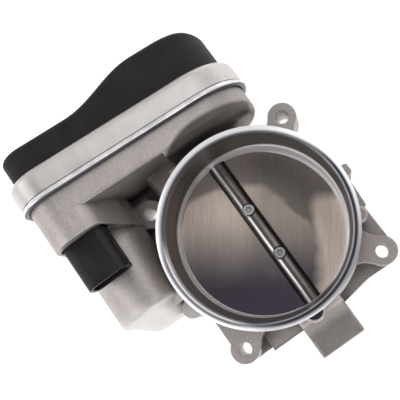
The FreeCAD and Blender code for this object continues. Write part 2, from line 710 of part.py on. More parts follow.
# ---- connector ----
def connector():
    y0 = CONN_Y - CONN_W / 2.0
    y1 = CONN_Y + CONN_W / 2.0
    z0 = CONN_Z - CONN_T / 2.0
    z1 = CONN_Z + CONN_T / 2.0
    body = box(-56.0, CONN_MOUTH_X, y0, y1, z0, z1)
    body = soften(body, CONN_ROUND, Vector(1, 0, 0))
    back = box(-62.0, -55.9, CONN_Y - 9.5, CONN_Y + 9.5, CONN_Z - 5.5, CONN_Z + 5.5)
    body = body.fuse(back)
    socket = box(-36.0, CONN_MOUTH_X + 1, y0 + 1.8, y1 - 1.8, z0 + 1.8, z1 - 1.8)
    body = body.cut(soften(socket, CONN_ROUND - 1.8, Vector(1, 0, 0)))
    key = box(-36.5, CONN_MOUTH_X - 1.5, CONN_Y - 1.0, CONN_Y + 1.0, z1 - 4.2, z1 - 1.5)
    body = body.fuse(key)
    body = body.cut(post(-31.5, CONN_Y + 0.6, z1 - 0.5, z1 + 1, 0.9))
    for y, z in pin_places():
        body = body.cut(box(-63, -35, y - 0.6, y + 0.6, z - 0.4, z + 0.4))
    return body.removeSplitter()


def pin_places():
    return [(CONN_Y + 2.9 * i, CONN_Z + s) for s in (-2.2, 1.0) for i in (-2, 0, 2)]


def terminals():
    pins = [box(-64.5, -27.0, y - 0.6, y + 0.6, z - 0.4, z + 0.4) for y, z in pin_places()]
    return Part.makeCompound(pins)


def connector_seal():
    w = CONN_W / 2.0
    t = CONN_T / 2.0
    outer = box(-52, -49, CONN_Y - w - 0.9, CONN_Y + w + 0.9, CONN_Z - t - 0.9, CONN_Z + t + 0.9)
    outer = soften(outer, CONN_ROUND + 0.9, Vector(1, 0, 0))
    inner = box(-53, -48, CONN_Y - w, CONN_Y + w, CONN_Z - t, CONN_Z + t)
    return outer.cut(soften(inner, CONN_ROUND, Vector(1, 0, 0)))


# ---- stops and sensor ----
def stop_places():
    # one pin past each end of the sector's travel
    return [polar(0, SHAFT_Z, 20.0, deg) for deg in STOP_DEGS]


def stop_pins():
    return Part.makeCompound([rod(-75.0, -57.5, y, z, 2.0) for y, z in stop_places()])


def sensor_board():
    board = box(-99.0, -97.4, -13, 15, SHAFT_Z - 14, SHAFT_Z + 14)
    return soften(board, 2.0, Vector(1, 0, 0))


def sensor_chip():
    return box(-97.4, -96.5, 2, 12, SHAFT_Z - 5, SHAFT_Z + 5)


def main():
    os.makedirs("parts", exist_ok=True)
    save(housing(), "throttle_housing")
    save(bearing(-59.0, -51.0), "gear_side_bearing")
    save(bearing(49.0, 58.0), "far_side_bearing")
    save(tube_x(-51.0, -48.0, 0, SHAFT_Z, 7.0, SHAFT_R + FIT), "shaft_seal")
    save(plug(), "boss_plug")
    save(shaft(), "throttle_shaft")
    save(plate(), "throttle_plate")
    save(plate_screws(), "plate_screws")
    save(sector(), "sector_gear")
    save(sleeve(), "spacer_sleeve")
    save(rotor(), "sensor_rotor")
    save(nut(), "shaft_nut")
    save(spring(), "return_spring")
    save(idler_pin(), "idler_pin")
    save(idler(), "idler_gear")
    save(motor_can(), "motor_can")
    save(motor_bush(), "motor_bushes")
    save(motor_plate(), "motor_plate")
    save(motor_screws(), "motor_screws")
    save(magnets(), "motor_magnets")
    save(armature(), "armature")
    save(commutator(), "commutator")
    save(brush_holder(), "brush_holder")
    save(brushes(), "brushes")
    save(motor_shaft(), "motor_shaft")
    save(pinion(), "motor_pinion")
    save(cover(), "gear_cover")
    save(band(), "closing_band")
    save(gasket(), "cover_gasket")
    save(connector(), "connector_body")
    save(terminals(), "connector_terminals")
    save(connector_seal(), "connector_seal")
    save(stop_pins(), "stop_pins")
    save(sensor_board(), "sensor_board")
    save(sensor_chip(), "sensor_chip")


main()
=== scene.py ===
import json
import math

import bmesh
import bpy
from mathutils import Matrix, Vector


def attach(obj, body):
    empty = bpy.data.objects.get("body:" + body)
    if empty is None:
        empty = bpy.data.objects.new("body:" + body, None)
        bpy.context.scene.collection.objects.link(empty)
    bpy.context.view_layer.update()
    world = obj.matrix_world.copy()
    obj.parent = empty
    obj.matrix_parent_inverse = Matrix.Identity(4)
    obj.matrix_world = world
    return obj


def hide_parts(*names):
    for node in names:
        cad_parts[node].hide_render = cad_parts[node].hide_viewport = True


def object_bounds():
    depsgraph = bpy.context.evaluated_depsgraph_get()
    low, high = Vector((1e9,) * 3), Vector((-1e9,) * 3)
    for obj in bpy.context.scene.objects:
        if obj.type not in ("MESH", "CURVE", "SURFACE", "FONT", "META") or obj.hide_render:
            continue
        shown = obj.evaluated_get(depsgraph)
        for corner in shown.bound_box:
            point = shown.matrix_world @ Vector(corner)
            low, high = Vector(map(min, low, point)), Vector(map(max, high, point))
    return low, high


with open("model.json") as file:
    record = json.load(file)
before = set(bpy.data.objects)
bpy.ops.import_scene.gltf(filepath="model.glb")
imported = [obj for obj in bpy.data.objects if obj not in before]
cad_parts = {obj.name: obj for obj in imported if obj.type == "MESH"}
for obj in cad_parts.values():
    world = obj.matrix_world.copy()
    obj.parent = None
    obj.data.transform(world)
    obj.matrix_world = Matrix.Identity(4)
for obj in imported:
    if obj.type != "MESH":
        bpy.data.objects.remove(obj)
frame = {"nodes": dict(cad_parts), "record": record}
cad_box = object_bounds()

MM = 0.001

# ---- camera ----
CAMERA_PLACE = Vector((0.0465, 0.0161, 0.4402))
CAMERA_RIGHT = Vector((0.573, 0.802, -0.170))
CAMERA_UP = Vector((-0.799, 0.593, 0.104))
SENSOR_MM = 36.0
LENS_MM = 76.5
NEAREST, FURTHEST = 0.01, 40.0


def put_in_scene(name, data):
    made = bpy.data.objects.new(name, data)
    bpy.context.scene.collection.objects.link(made)
    return made


def make_camera():
    right = CAMERA_RIGHT.normalized()
    back = right.cross(CAMERA_UP).normalized()
    up = back.cross(right)
    data = bpy.data.cameras.new("camera")
    data.sensor_width = SENSOR_MM
    data.lens = LENS_MM
    data.clip_start = NEAREST
    data.clip_end = FURTHEST
    camera = put_in_scene("camera", data)
    turn = Matrix((right, up, back)).transposed().to_4x4()
    camera.matrix_world = Matrix.Translation(CAMERA_PLACE) @ turn
    bpy.context.scene.camera = camera


# ---- node materials ----
EDGE_SAMPLES = 4
EDGE_COSINES = (0.99, 0.85)     # between the flat and the rounded normal: no edge, a full edge
OPEN_SHARES = (0.85, 0.25)      # of the sky seen from a point: in the open, deep in a recess
MIX_SOCKETS = {"FLOAT": (2, 3, 0), "RGBA": (6, 7, 2)}   # a Mix node's two inputs and its output


class Shader:
    """One material's node tree, with short calls for the nodes used here."""

    def __init__(self, name):
        self.material = bpy.data.materials.new(name)
        self.material.use_nodes = True
        self.tree = self.material.node_tree
        self.bsdf = self.tree.nodes["Principled BSDF"]
        self.place = self.node("ShaderNodeTexCoord").outputs["Object"]

    def node(self, kind, **settings):
        made = self.tree.nodes.new(kind)
        for key, value in settings.items():
            setattr(made, key, value)
        return made

    def feed(self, socket, value):
        """Link another node's output to the socket, or set the socket's own value."""
        if isinstance(value, bpy.types.NodeSocket):
            self.tree.links.new(value, socket)
        elif isinstance(value, tuple) and len(value) == 3 and socket.type == "RGBA":
            socket.default_value = (*value, 1.0)
        else:
            socket.default_value = value

    def surface(self, **values):
        """Feed the Principled shader's inputs; _ stands for a space in their names."""
        for key, value in values.items():
            self.feed(self.bsdf.inputs[key.replace("_", " ")], value)

    # places
    def axes(self):
        made = self.node("ShaderNodeSeparateXYZ")
        self.feed(made.inputs["Vector"], self.place)
        return made.outputs

    def vector(self, x=0.0, y=0.0, z=0.0):
        made = self.node("ShaderNodeCombineXYZ")
        for key, value in (("X", x), ("Y", y), ("Z", z)):
            self.feed(made.inputs[key], value)
        return made.outputs["Vector"]

    def stretched(self, scale):
        mapping = self.node("ShaderNodeMapping")
        self.feed(mapping.inputs["Vector"], self.place)
        self.feed(mapping.inputs["Scale"], scale)
        return mapping.outputs["Vector"]

    # patterns
    def noise(self, size_mm, detail, rough, place=None, warp=0.0):
        made = self.node("ShaderNodeTexNoise")
        self.feed(made.inputs["Vector"], place or self.place)
        self.feed(made.inputs["Scale"], 1.0 / (size_mm * MM))
        self.feed(made.inputs["Detail"], detail)
        self.feed(made.inputs["Roughness"], rough)
        self.feed(made.inputs["Distortion"], warp)
        return made.outputs["Fac"]

    def cell_edges(self, size_mm):
        made = self.node("ShaderNodeTexVoronoi", feature="DISTANCE_TO_EDGE")
        self.feed(made.inputs["Vector"], self.place)
        self.feed(made.inputs["Scale"], 1.0 / (size_mm * MM))
        return made.outputs["Distance"]

    # blends
    def ramp(self, value, low, high, to_low=0.0, to_high=1.0, smooth=True):
        """Go from to_low to to_high while the value goes from low to high."""
        made = self.node("ShaderNodeMapRange")
        made.interpolation_type = "SMOOTHSTEP" if smooth else "LINEAR"
        for key, number in (("Value", value), ("From Min", low), ("From Max", high),
                            ("To Min", to_low), ("To Max", to_high)):
            self.feed(made.inputs[key], number)
        return made.outputs["Result"]

    def blend(self, kind, share, first, second):
        made = self.node("ShaderNodeMix", data_type=kind)
        low, high, out = MIX_SOCKETS[kind]
        self.feed(made.inputs["Factor"], share)
        self.feed(made.inputs[low], first)
        self.feed(made.inputs[high], second)
        return made.outputs[out]

    def mix(self, share, first, second):
        """A colour between two colours."""
        return self.blend("RGBA", share, first, second)

    def lerp(self, share, first, second):
        """A number between two numbers."""
        return self.blend("FLOAT", share, first, second)

    def vary(self, pattern, first, second, low=0.3, high=0.7):
        """A colour that goes from the first to the second as the pattern rises."""
        return self.mix(self.ramp(pattern, low, high), first, second)

    # arithmetic
    def math(self, operation, first, second=0.0):
        made = self.node("ShaderNodeMath", operation=operation)
        self.feed(made.inputs[0], first)
        self.feed(made.inputs[1], second)
        return made.outputs["Value"]

    def times(self, first, second, *others):
        if others:
            second = self.times(second, *others)
        return self.math("MULTIPLY", first, second)

    def plus(self, first, second):
        return self.math("ADD", first, second)

    def minus(self, first, second):
        return self.math("SUBTRACT", first, second)

    def larger(self, first, second):
        return self.math("MAXIMUM", first, second)

    def above(self, value, limit):
        return self.math("GREATER_THAN", value, limit)

    def under(self, value, limit):
        return self.math("LESS_THAN", value, limit)

    def radius(self, first, second):
        squares = [self.times(value, value) for value in (first, second)]
        return self.math("SQRT", self.plus(*squares))

    # shape
    def edges(self, radius_mm):
        """(1 on edges that stand out or in and 0 on flats, a normal that is rounded at edges)."""
        bevel = self.node("ShaderNodeBevel", samples=EDGE_SAMPLES)
        self.feed(bevel.inputs["Radius"], radius_mm * MM)
        flat = self.node("ShaderNodeNewGeometry").outputs["Normal"]
        dot = self.node("ShaderNodeVectorMath", operation="DOT_PRODUCT")
        self.feed(dot.inputs[0], bevel.outputs["Normal"])
        self.feed(dot.inputs[1], flat)
        return self.ramp(dot.outputs["Value"], *EDGE_COSINES), bevel.outputs["Normal"]

    def hollow(self, reach_mm, samples=6):
        """1 deep in a recess, 0 in the open."""
        made = self.node("ShaderNodeAmbientOcclusion", samples=samples)
        self.feed(made.inputs["Distance"], reach_mm * MM)
        return self.ramp(made.outputs["AO"], *OPEN_SHARES)

    def bump(self, height, depth_mm, strength, normal=None):
        made = self.node("ShaderNodeBump")
        self.feed(made.inputs["Height"], height)
        self.feed(made.inputs["Distance"], depth_mm * MM)
        self.feed(made.inputs["Strength"], strength)
        if normal is not None:
            self.feed(made.inputs["Normal"], normal)
        return made.outputs["Normal"]


# ---- the casting ----
# Places are in metres in the CAD frame, and r is the distance from the bore's axis. A pair goes
# from where a tone starts to where it is full.
MOUTH_R = 0.04355                       # inside this are the bell mouth and the bore
BEAD_R, BEAD_Z = 0.0475, 0.0519         # outside and under side of the collar's bead
LIP_R, LIP_Z = (0.0434, 0.0436), (0.0560, 0.0563)       # inner edge and level of the rolled lip
LIP_ROLL_R = (0.0436, 0.0444, 0.0470)   # the lip faces inwards, then straight up, then outwards
LIP_LEAN = (-0.35, 0.0, 0.45)
RIM_R = (0.0434, 0.0474)                # the ground rim, from its inner to its outer edge
BELL_FOOT_Z = (0.0344, 0.0375)          # lower end of the bell mouth's painted shade: most of the way, at +Y
BELL_BLEND = 0.0004
BOLT_PLACE, BOLT_HOLE_R = 0.041, 0.00352    # |x| and |y| of the bolts, and just over a hole's r
SPOT_X, SPOT_Y, SPOT_R = 0.0452, -0.0018, 0.0049    # milled spot beside the collar, with a painted shadow in its core and a milled ring brightened by a painted highlight
SPOT_CORE_R = (0.0040, 0.0044)
SPOT_CLEAR_R = (0.0436, 0.0437)         # the spot ends at the bell mouth,
SPOT_FLOOR_Z = (0.0443, 0.0444)         # and between these two heights
SPOT_CEILING_Z = (0.0452, 0.0450)
ARCH_X, ARCH_Y = -0.060, 0.006          # top of the arch where the painted shade under the bowl ends
ARCH_BEND = (16.0, 4.0)                 # how fast it bends away towards -Y and +Y
ARCH_BLEND = (-0.0003, 0.0022)
# where shade is painted: under the bowl, on the shoulder and on the far boss
BOWL_X, BOWL_Y, BOWL_Z = (-0.0485, -0.0495), (-0.0195, -0.0172), (0.026, 0.034)
SHOULDER_X, SHOULDER_Y = (-0.050, -0.054), (0.004, 0.020)
BOSS_X, BOSS_Z = (0.0485, 0.0500), (0.044, 0.040)
HOUSE_X, HOUSE_Y = (-0.038, -0.034), (-0.046, -0.050)   # the motor house, with painted highlights on its top and its nose
HOUSE_TOP_Z, HOUSE_NOSE_X = (0.0425, 0.0460), (-0.008, 0.003)

NEAR_WHITE = (0.90, 0.88, 0.86)
# dark of the fine pits, and of the painted shade on the shoulder and the far boss
PIT_AND_SHADE_DARK = (0.16, 0.14, 0.13)
SKIN_TONES = ((0.545, 0.498, 0.475), (0.620, 0.572, 0.550))
DRILLED_TONES = ((0.52, 0.50, 0.48), (0.82, 0.80, 0.78))
MILLED_TONES = ((0.80, 0.81, 0.84), (0.92, 0.92, 0.94))
BORE_TONES = ((0.84, 0.82, 0.83), (0.95, 0.93, 0.94))
# painted shade on the bell mouth, and painted light on two of its sides
BELL_TONES = ((0.088, 0.077, 0.072), (0.122, 0.109, 0.102))
BELL_LIGHT_TONES = ((0.22, 0.195, 0.183), (0.28, 0.252, 0.238))
# painted reflections on the ground rim, from dark to light
RIM_TONES = ((0.02, 0.02, 0.04), (0.98, 0.98, 1.0))


def cast_aluminium():
    """Die-cast skin, with turned faces at the rim and in the bore."""
    s = Shader("cast_aluminium")
    x, y, z = s.axes()
    r = s.radius(x, y)
    fine = s.noise(1.3, 5, 0.7)
    grain = s.noise(0.6, 3, 0.7)
    rings = s.noise(0.22, 2, 0.5, place=s.vector(x=r, z=z))
    worn, soft_normal = s.edges(0.7)

    on_bead = s.times(s.above(z, BEAD_Z), s.under(r, BEAD_R))
    from_spot = s.radius(s.minus(x, SPOT_X), s.plus(y, -SPOT_Y))
    ground = s.larger(on_bead, milled_spot(s, r, z, from_spot))
    turned = s.larger(s.under(r, MOUTH_R), ground)
    bell_foot = s.ramp(direction(s, x, y, r, 90), 0.2, 0.9, *BELL_FOOT_Z)
    bell = s.ramp(s.minus(z, bell_foot), -BELL_BLEND, BELL_BLEND)

    skin = cast_skin(s, (x, y, z), fine, grain, worn)
    wall = s.mix(bell, bore_tone(s, x, y, r, rings), bell_tone(s, x, y, r, rings))
    # painted shadow in the spot's core; its milled ring also carries a painted highlight
    spot = s.mix(s.ramp(from_spot, *SPOT_CORE_R), (0.05, 0.05, 0.065), s.vary(rings, *MILLED_TONES))
    face = s.mix(s.above(z, BEAD_Z), spot, rim_tone(s, x, y, r, rings))
    metallic = s.lerp(ground, s.lerp(bell, 0.25, 0.9), 0.7)
    s.surface(Base_Color=s.mix(turned, skin, s.mix(ground, wall, face)),
              Metallic=s.lerp(turned, 0.82, metallic),
              Roughness=s.lerp(turned, s.ramp(fine, 0.3, 0.7, 0.44, 0.58), s.lerp(ground, 0.42, 0.30)))

    pits = s.plus(s.times(fine, 0.6), s.times(grain, 0.4))
    height = s.lerp(turned, pits, s.times(rings, 0.12))
    lip = s.times(s.ramp(z, *LIP_Z), s.ramp(r, *LIP_R), s.under(r, BEAD_R))
    normal = s.mix(lip, soft_normal, rolled_normal(s, x, y, r))
    s.surface(Normal=s.bump(height, 0.22, 0.6, normal=normal))
    return s.material


def cast_skin(s, place, fine, grain, worn):
    """Mottled grey with fine pits, cleaner edges, painted shade in recesses and bright bolt holes."""
    x, y, z = place
    skin = s.vary(s.noise(13, 4, 0.6, warp=0.5), *SKIN_TONES)
    skin = s.vary(fine, s.mix(0.26, skin, (0.20, 0.18, 0.17)), skin, 0.35, 0.65)
    skin = s.vary(grain, s.mix(0.20, skin, PIT_AND_SHADE_DARK), skin, 0.35, 0.60)
    skin = s.mix(s.times(worn, s.ramp(fine, 0.3, 0.6, 0.35, 0.75)), skin, NEAR_WHITE)
    skin = region_tones(s, skin, x, y, z)
    # painted shade in recesses
    skin = s.mix(s.times(s.hollow(9), 0.66), skin, (0.085, 0.075, 0.07))
    return s.mix(s.under(bolt_distance(s, x, y), BOLT_HOLE_R), skin, s.vary(grain, *DRILLED_TONES))


def region_tones(s, skin, x, y, z):
    """Painted shade under the bowl, on the shoulder and on the far boss, and painted highlights on the
    motor house's top and nose.
    """
    # painted shade under the bowl, which ends at an arch
    from_top = s.minus(y, ARCH_Y)
    bend = s.lerp(s.above(from_top, 0.0), *ARCH_BEND)
    arch = s.minus(s.times(s.times(from_top, from_top), bend), -ARCH_X)
    bowl = s.times(s.ramp(s.minus(x, arch), *ARCH_BLEND), s.ramp(x, *BOWL_X), s.ramp(z, *BOWL_Z))
    bowl = s.times(bowl, s.ramp(y, *BOWL_Y, 0.0, 0.90))
    skin = s.mix(bowl, skin, (0.060, 0.053, 0.050))
    shoulder = s.times(s.ramp(y, *SHOULDER_Y, 0.0, 0.30), s.ramp(x, *SHOULDER_X))
    skin = s.mix(shoulder, skin, PIT_AND_SHADE_DARK)
    boss = s.times(s.ramp(x, *BOSS_X), s.ramp(z, *BOSS_Z))
    skin = s.mix(s.times(boss, 0.50), skin, PIT_AND_SHADE_DARK)
    # painted highlights on the motor house's top and nose
    house = s.times(s.ramp(y, *HOUSE_Y), s.ramp(x, *HOUSE_X))
    top = s.times(house, s.ramp(z, *HOUSE_TOP_Z, 0.0, 0.10))
    nose = s.times(house, s.ramp(x, *HOUSE_NOSE_X, 0.0, 0.55))
    return s.mix(s.larger(top, nose), skin, (0.86, 0.84, 0.82))


def milled_spot(s, r, z, from_spot):
    """1 on the milled spot beside the collar, 0 elsewhere."""
    disc = s.times(s.under(from_spot, SPOT_R), s.ramp(z, *SPOT_FLOOR_Z))
    return s.times(disc, s.ramp(z, *SPOT_CEILING_Z), s.ramp(r, *SPOT_CLEAR_R))


def direction(s, x, y, r, degrees):
    """Cosine between a point's direction from the bore axis and the given direction."""
    turn = math.radians(degrees)
    return s.math("DIVIDE", s.plus(s.times(x, math.cos(turn)), s.times(y, math.sin(turn))), r)


def bell_tone(s, x, y, r, rings):
    """Painted shade on the bell mouth, with painted light on two opposite sides."""
    across = s.ramp(s.math("ABSOLUTE", direction(s, x, y, r, 135)), 0.40, 0.90)
    return s.mix(across, s.vary(rings, *BELL_TONES), s.vary(rings, *BELL_LIGHT_TONES))


def bore_tone(s, x, y, r, rings):
    """Bright bore, with a painted shadow on one side."""
    # painted shadow on one side of the bore
    bore_shadow = s.ramp(direction(s, x, y, r, 212), 0.93, 0.99, 0.0, 0.35)
    return s.mix(bore_shadow, s.vary(rings, *BORE_TONES), (0.10, 0.09, 0.085))


def rim_tone(s, x, y, r, rings):
    """Ground rim with painted reflections: evenly light on one side, with dark and light rings on the
    others.
    """
    t = s.ramp(r, *RIM_R, smooth=False)
    plain = s.ramp(t, 0.0, 0.50, 0.12, 0.98)
    ringed = s.larger(s.ramp(t, 0.18, 0.08, 0.0, 0.55), s.ramp(t, 0.36, 0.62, 0.06, 0.85))
    low = s.larger(s.ramp(t, 0.36, 0.18, 0.0, 1.0), s.ramp(t, 0.45, 0.75, 0.30, 0.85))
    tone = s.lerp(s.ramp(direction(s, x, y, r, 36), 0.10, 0.60), plain, ringed)
    tone = s.lerp(s.ramp(direction(s, x, y, r, 282), 0.74, 0.92), tone, low)
    return s.mix(s.times(tone, s.ramp(rings, 0.3, 0.7, 0.90, 1.08)), *RIM_TONES)


def bolt_distance(s, x, y):
    """How far a point lies from the nearest bolt hole's axis."""
    return s.radius(*(s.minus(s.math("ABSOLUTE", value), BOLT_PLACE) for value in (x, y)))


def rolled_normal(s, x, y, r):
    """Directions of a lip that rolls over from the bell mouth to the outside."""
    inner = s.ramp(r, *LIP_ROLL_R[:2], *LIP_LEAN[:2], smooth=False)
    outer = s.ramp(r, *LIP_ROLL_R[1:], *LIP_LEAN[1:], smooth=False)
    lean = s.plus(inner, outer)
    out = [s.times(s.math("DIVIDE", value, r), lean) for value in (x, y)]
    unit = s.node("ShaderNodeVectorMath", operation="NORMALIZE")
    s.feed(unit.inputs[0], s.vector(*out, z=1.0))
    return unit.outputs["Vector"]


# ---- the band, the plate and its shaft ----
FLARE_X = (-0.0690, -0.0686)            # the band's polished lip starts here
# painted shade in the groove, and under the lip from LIP_BACK_X on
GROOVE_X = (-0.0680, -0.0684)
LIP_BACK_X = (-0.0662, -0.0658)

ACROSS_BRUSH, ALONG_BRUSH = (0.573, 0.802), (-0.799, 0.593)     # (x, y) in the plate
BRUSH_STRETCH = 0.04
PLATE_EDGE_R = (0.0410, 0.0394)         # start of the painted highlight on the plate's edge, wider at +Y
PLATE_EDGE_BLEND = 0.0004
# the plate's painted shade runs from violet to smoke grey, and its painted light is straw
VIOLET, SMOKE, STRAW = (0.110, 0.094, 0.125), (0.150, 0.135, 0.128), (0.97, 0.83, 0.73)
SOOT = (0.05, 0.045, 0.045)
ARC_BEND, ARC_U, ARC_V = 14.0, -0.012, (0.0245, 0.0205)     # the large patch of painted light ends at an arc

PAINTED_HIGHLIGHT_Y = ((-0.0027, -0.0021), (-0.0008, -0.0014))        # a painted highlight along the shaft
PAINTED_SHADE_Y = ((0.0022, 0.0034), (-0.0030, -0.0040))         # painted shade on both its sides


def band_aluminium():
    """Satin sheet band, with a brighter rolled lip, and painted shade in the groove before the lip and
    under it.
    """
    s = Shader("band_aluminium")
    x = s.axes()["X"]
    smear = s.noise(9, 4, 0.6, warp=0.8)
    fine = s.noise(0.7, 4, 0.6, place=s.stretched((1.0, 0.35, 0.35)))
    worn, _ = s.edges(0.4)
    satin = s.vary(smear, (0.640, 0.605, 0.585), (0.690, 0.660, 0.640))
    satin = s.vary(fine, s.mix(0.12, satin, (0.4, 0.38, 0.36)), satin)
    satin = s.mix(s.times(worn, 0.3), satin, (0.88, 0.86, 0.84))
    flare = s.ramp(x, *FLARE_X)
    # painted shade in the groove and under the lip
    dark = s.larger(s.times(flare, s.ramp(x, *GROOVE_X)), s.ramp(x, *LIP_BACK_X))
    polished = s.vary(smear, (0.72, 0.71, 0.72), (0.98, 0.96, 0.95), 0.35, 0.6)
    polished = s.mix(dark, polished, (0.10, 0.10, 0.13))
    s.surface(Base_Color=s.mix(flare, satin, polished),
              Metallic=s.lerp(flare, 0.72, 0.65),
              Roughness=s.lerp(flare, s.ramp(fine, 0.3, 0.7, 0.36, 0.46), 0.28),
              Normal=s.bump(fine, 0.05, 0.35))
    return s.material


def plate_metal():
    """Brushed sheet with painted light and shade: straw coloured in the painted bright patches, violet
    grey where shade is painted, and a painted highlight on part of its edge.
    """
    s = Shader("plate_metal")
    x, y, _ = s.axes()
    u, v = (s.plus(s.times(x, way[0]), s.times(y, way[1])) for way in (ACROSS_BRUSH, ALONG_BRUSH))
    brushed = s.vector(u, s.times(v, BRUSH_STRETCH))
    streaks = s.noise(0.55, 4, 0.65, place=brushed)
    wide = s.noise(3.0, 3, 0.6, place=brushed)

    wander = s.times(s.minus(s.noise(24, 3, 0.5, warp=0.4), 0.5), 0.010)
    # painted shade, darkest towards low v
    painted_shade_tone = s.vary(s.plus(v, wander), VIOLET, SMOKE, -0.025, 0.010)
    base = s.mix(painted_light_share(s, s.plus(u, wander), s.plus(v, wander)), painted_shade_tone, STRAW)
    # a painted highlight along part of the plate's edge
    edge_start = s.ramp(direction(s, x, y, s.radius(x, y), 80), 0.0, 1.0, *PLATE_EDGE_R)
    edge = s.ramp(s.minus(s.radius(x, y), edge_start), 0.0, PLATE_EDGE_BLEND)
    base = s.mix(edge, base, (0.96, 0.95, 0.95))
    marks = s.plus(s.times(streaks, 0.7), s.times(wide, 0.3))
    base = s.vary(marks, s.mix(0.20, base, SOOT), base, 0.35, 0.65)
    s.surface(Base_Color=base,
              Metallic=s.lerp(edge, 1.0, 0.3),
              Roughness=s.ramp(streaks, 0.3, 0.7, 0.40, 0.50),
              Normal=s.bump(streaks, 0.03, 0.4))
    return s.material


def painted_light_share(s, u, v):
    """1 where light is painted on the plate: a large patch at low u and a small one at high u."""
    bow = s.plus(u, -ARC_U)
    below_arc = s.ramp(s.plus(v, s.times(s.times(bow, bow), ARC_BEND)), *ARC_V)
    middle = s.times(s.ramp(u, -0.016, 0.002), 0.5)
    large = s.times(s.ramp(v, -0.030, 0.016), s.minus(1.0, middle))
    large = s.times(large, s.lerp(below_arc, 0.30, 1.0))
    small = s.times(s.ramp(u, 0.0205, 0.0300), s.ramp(v, -0.046, -0.016), s.ramp(v, 0.026, 0.014))
    return s.larger(large, s.times(small, 1.15))


def shaft_steel():
    """Ground shaft, with a painted highlight along it and painted shade on both its sides."""
    s = Shader("shaft_steel")
    y = s.axes()["Y"]
    marks = s.noise(0.5, 3, 0.6, place=s.stretched((0.05, 1.0, 1.0)))
    stains = s.noise(9, 4, 0.6, warp=0.6)
    tone = s.vary(stains, (0.165, 0.150, 0.142), (0.235, 0.215, 0.205))
    tone = s.vary(marks, s.mix(0.18, tone, (0.05, 0.045, 0.04)), tone)
    # painted highlight along the shaft, then painted shade on both sides
    line = s.times(*(s.ramp(y, *side) for side in PAINTED_HIGHLIGHT_Y))
    tone = s.mix(s.times(line, 0.75), tone, (1.0, 0.98, 0.97))
    tone = s.mix(s.ramp(y, *PAINTED_SHADE_Y[0]), tone, (0.025, 0.022, 0.020))
    tone = s.mix(s.ramp(y, *PAINTED_SHADE_Y[1]), tone, (0.030, 0.027, 0.025))
    s.surface(Base_Color=tone,
              Metallic=1.0,
              Roughness=s.ramp(marks, 0.25, 0.75, 0.30, 0.40),
              Normal=s.bump(marks, 0.01, 0.3))
    return s.material


# ---- plain finishes ----
STAIN_SHARE = 0.25                      # how strongly marks and stains show
STAIN_TONE, RECESS_TONE = 0.45, 0.15    # as shares of the metal's own colour; the recess tone is painted shade


def scaled(colour, factor, lift=0.0):
    return tuple(c * factor + lift for c in colour)


def metal(name, base, rough, grain_mm, stretch=(1, 1, 1), metallic=1.0):
    """A plain metal: drawn, turned, ground or plated, with painted shade in its recesses."""
    s = Shader(name)
    marks = s.noise(grain_mm, 4, 0.6, place=s.stretched(stretch))
    stains = s.noise(6, 4, 0.6, warp=0.5)
    dark = scaled(base, STAIN_TONE)
    tone = s.vary(marks, s.mix(STAIN_SHARE, base, dark), base)
    tone = s.mix(s.times(s.ramp(stains, 0.45, 0.75), STAIN_SHARE), tone, dark)
    # painted shade in recesses
    tone = s.mix(s.times(s.hollow(2.5, 4), 0.8), tone, scaled(base, RECESS_TONE))
    s.surface(Base_Color=tone,
              Metallic=metallic,
              Roughness=s.ramp(marks, 0.25, 0.75, rough, rough + 0.14),
              Normal=s.bump(marks, 0.02, 0.5))
    return s.material


def moulded(name, base, rough, grain_mm=0.3, worn=(0.10, 0.10, 0.10), shine=0.45):
    """Moulded plastic with a spark-eroded grain and a little rub on its edges."""
    s = Shader(name)
    grain = s.noise(grain_mm, 3, 0.6)
    cloud = s.noise(14, 4, 0.6, warp=0.5)
    light = tuple(min(1.0, c) for c in scaled(base, 1.5, 0.004))
    edge, soft_normal = s.edges(0.35)
    rub = s.times(edge, s.ramp(s.noise(2.5, 4, 0.6), 0.4, 0.7, 0.05, 0.35))
    s.surface(Base_Color=s.mix(rub, s.vary(cloud, base, light), worn),
              Roughness=s.ramp(cloud, 0.3, 0.7, rough - 0.04, rough + 0.08),
              Specular_IOR_Level=shine,
              Normal=s.bump(grain, 0.05, 0.5, normal=soft_normal))
    return s.material


def circuit_board():
    """Green lacquer, with a pattern of tracks under it."""
    s = Shader("board")
    lacquer = s.ramp(s.cell_edges(3.0), 0.05, 0.08)
    s.surface(Base_Color=s.mix(lacquer, (0.03, 0.14, 0.07), (0.02, 0.09, 0.05)),
              Roughness=0.35,
              Normal=s.bump(lacquer, 0.03, 0.5))
    return s.material


# slot: (colour, roughness, grain in mm, then what differs from the usual)
METALS = {
    "bearing_steel": ((0.66, 0.68, 0.71), 0.20, 0.25, {}),
    "spring_steel": ((0.26, 0.26, 0.27), 0.30, 0.4, {}),
    "motor_steel": ((0.58, 0.58, 0.57), 0.32, 0.5, {"stretch": (0.2, 1, 1)}),
    "magnet_ceramic": ((0.10, 0.10, 0.11), 0.6, 0.3, {"metallic": 0.1}),
    "copper": ((0.80, 0.45, 0.28), 0.25, 0.4, {}),
    "brass": ((0.78, 0.58, 0.26), 0.24, 0.3, {}),
    "bush_bronze": ((0.55, 0.38, 0.22), 0.42, 0.25, {}),
    "carbon": ((0.04, 0.04, 0.04), 0.6, 0.25, {"metallic": 0.0}),
}
# slot: (colour, roughness, then what differs from the usual)
PLASTICS = {
    "gear_plastic": ((0.74, 0.70, 0.60), 0.42, {"worn": (0.85, 0.83, 0.78)}),
    "cover_plastic": ((0.0125, 0.0105, 0.0120), 0.58, {"shine": 0.22}),
    "black_plastic": ((0.0085, 0.0070, 0.0090), 0.40, {"shine": 0.30}),
    "seal_rubber": ((0.020, 0.020, 0.021), 0.70, {"grain_mm": 0.6}),
}


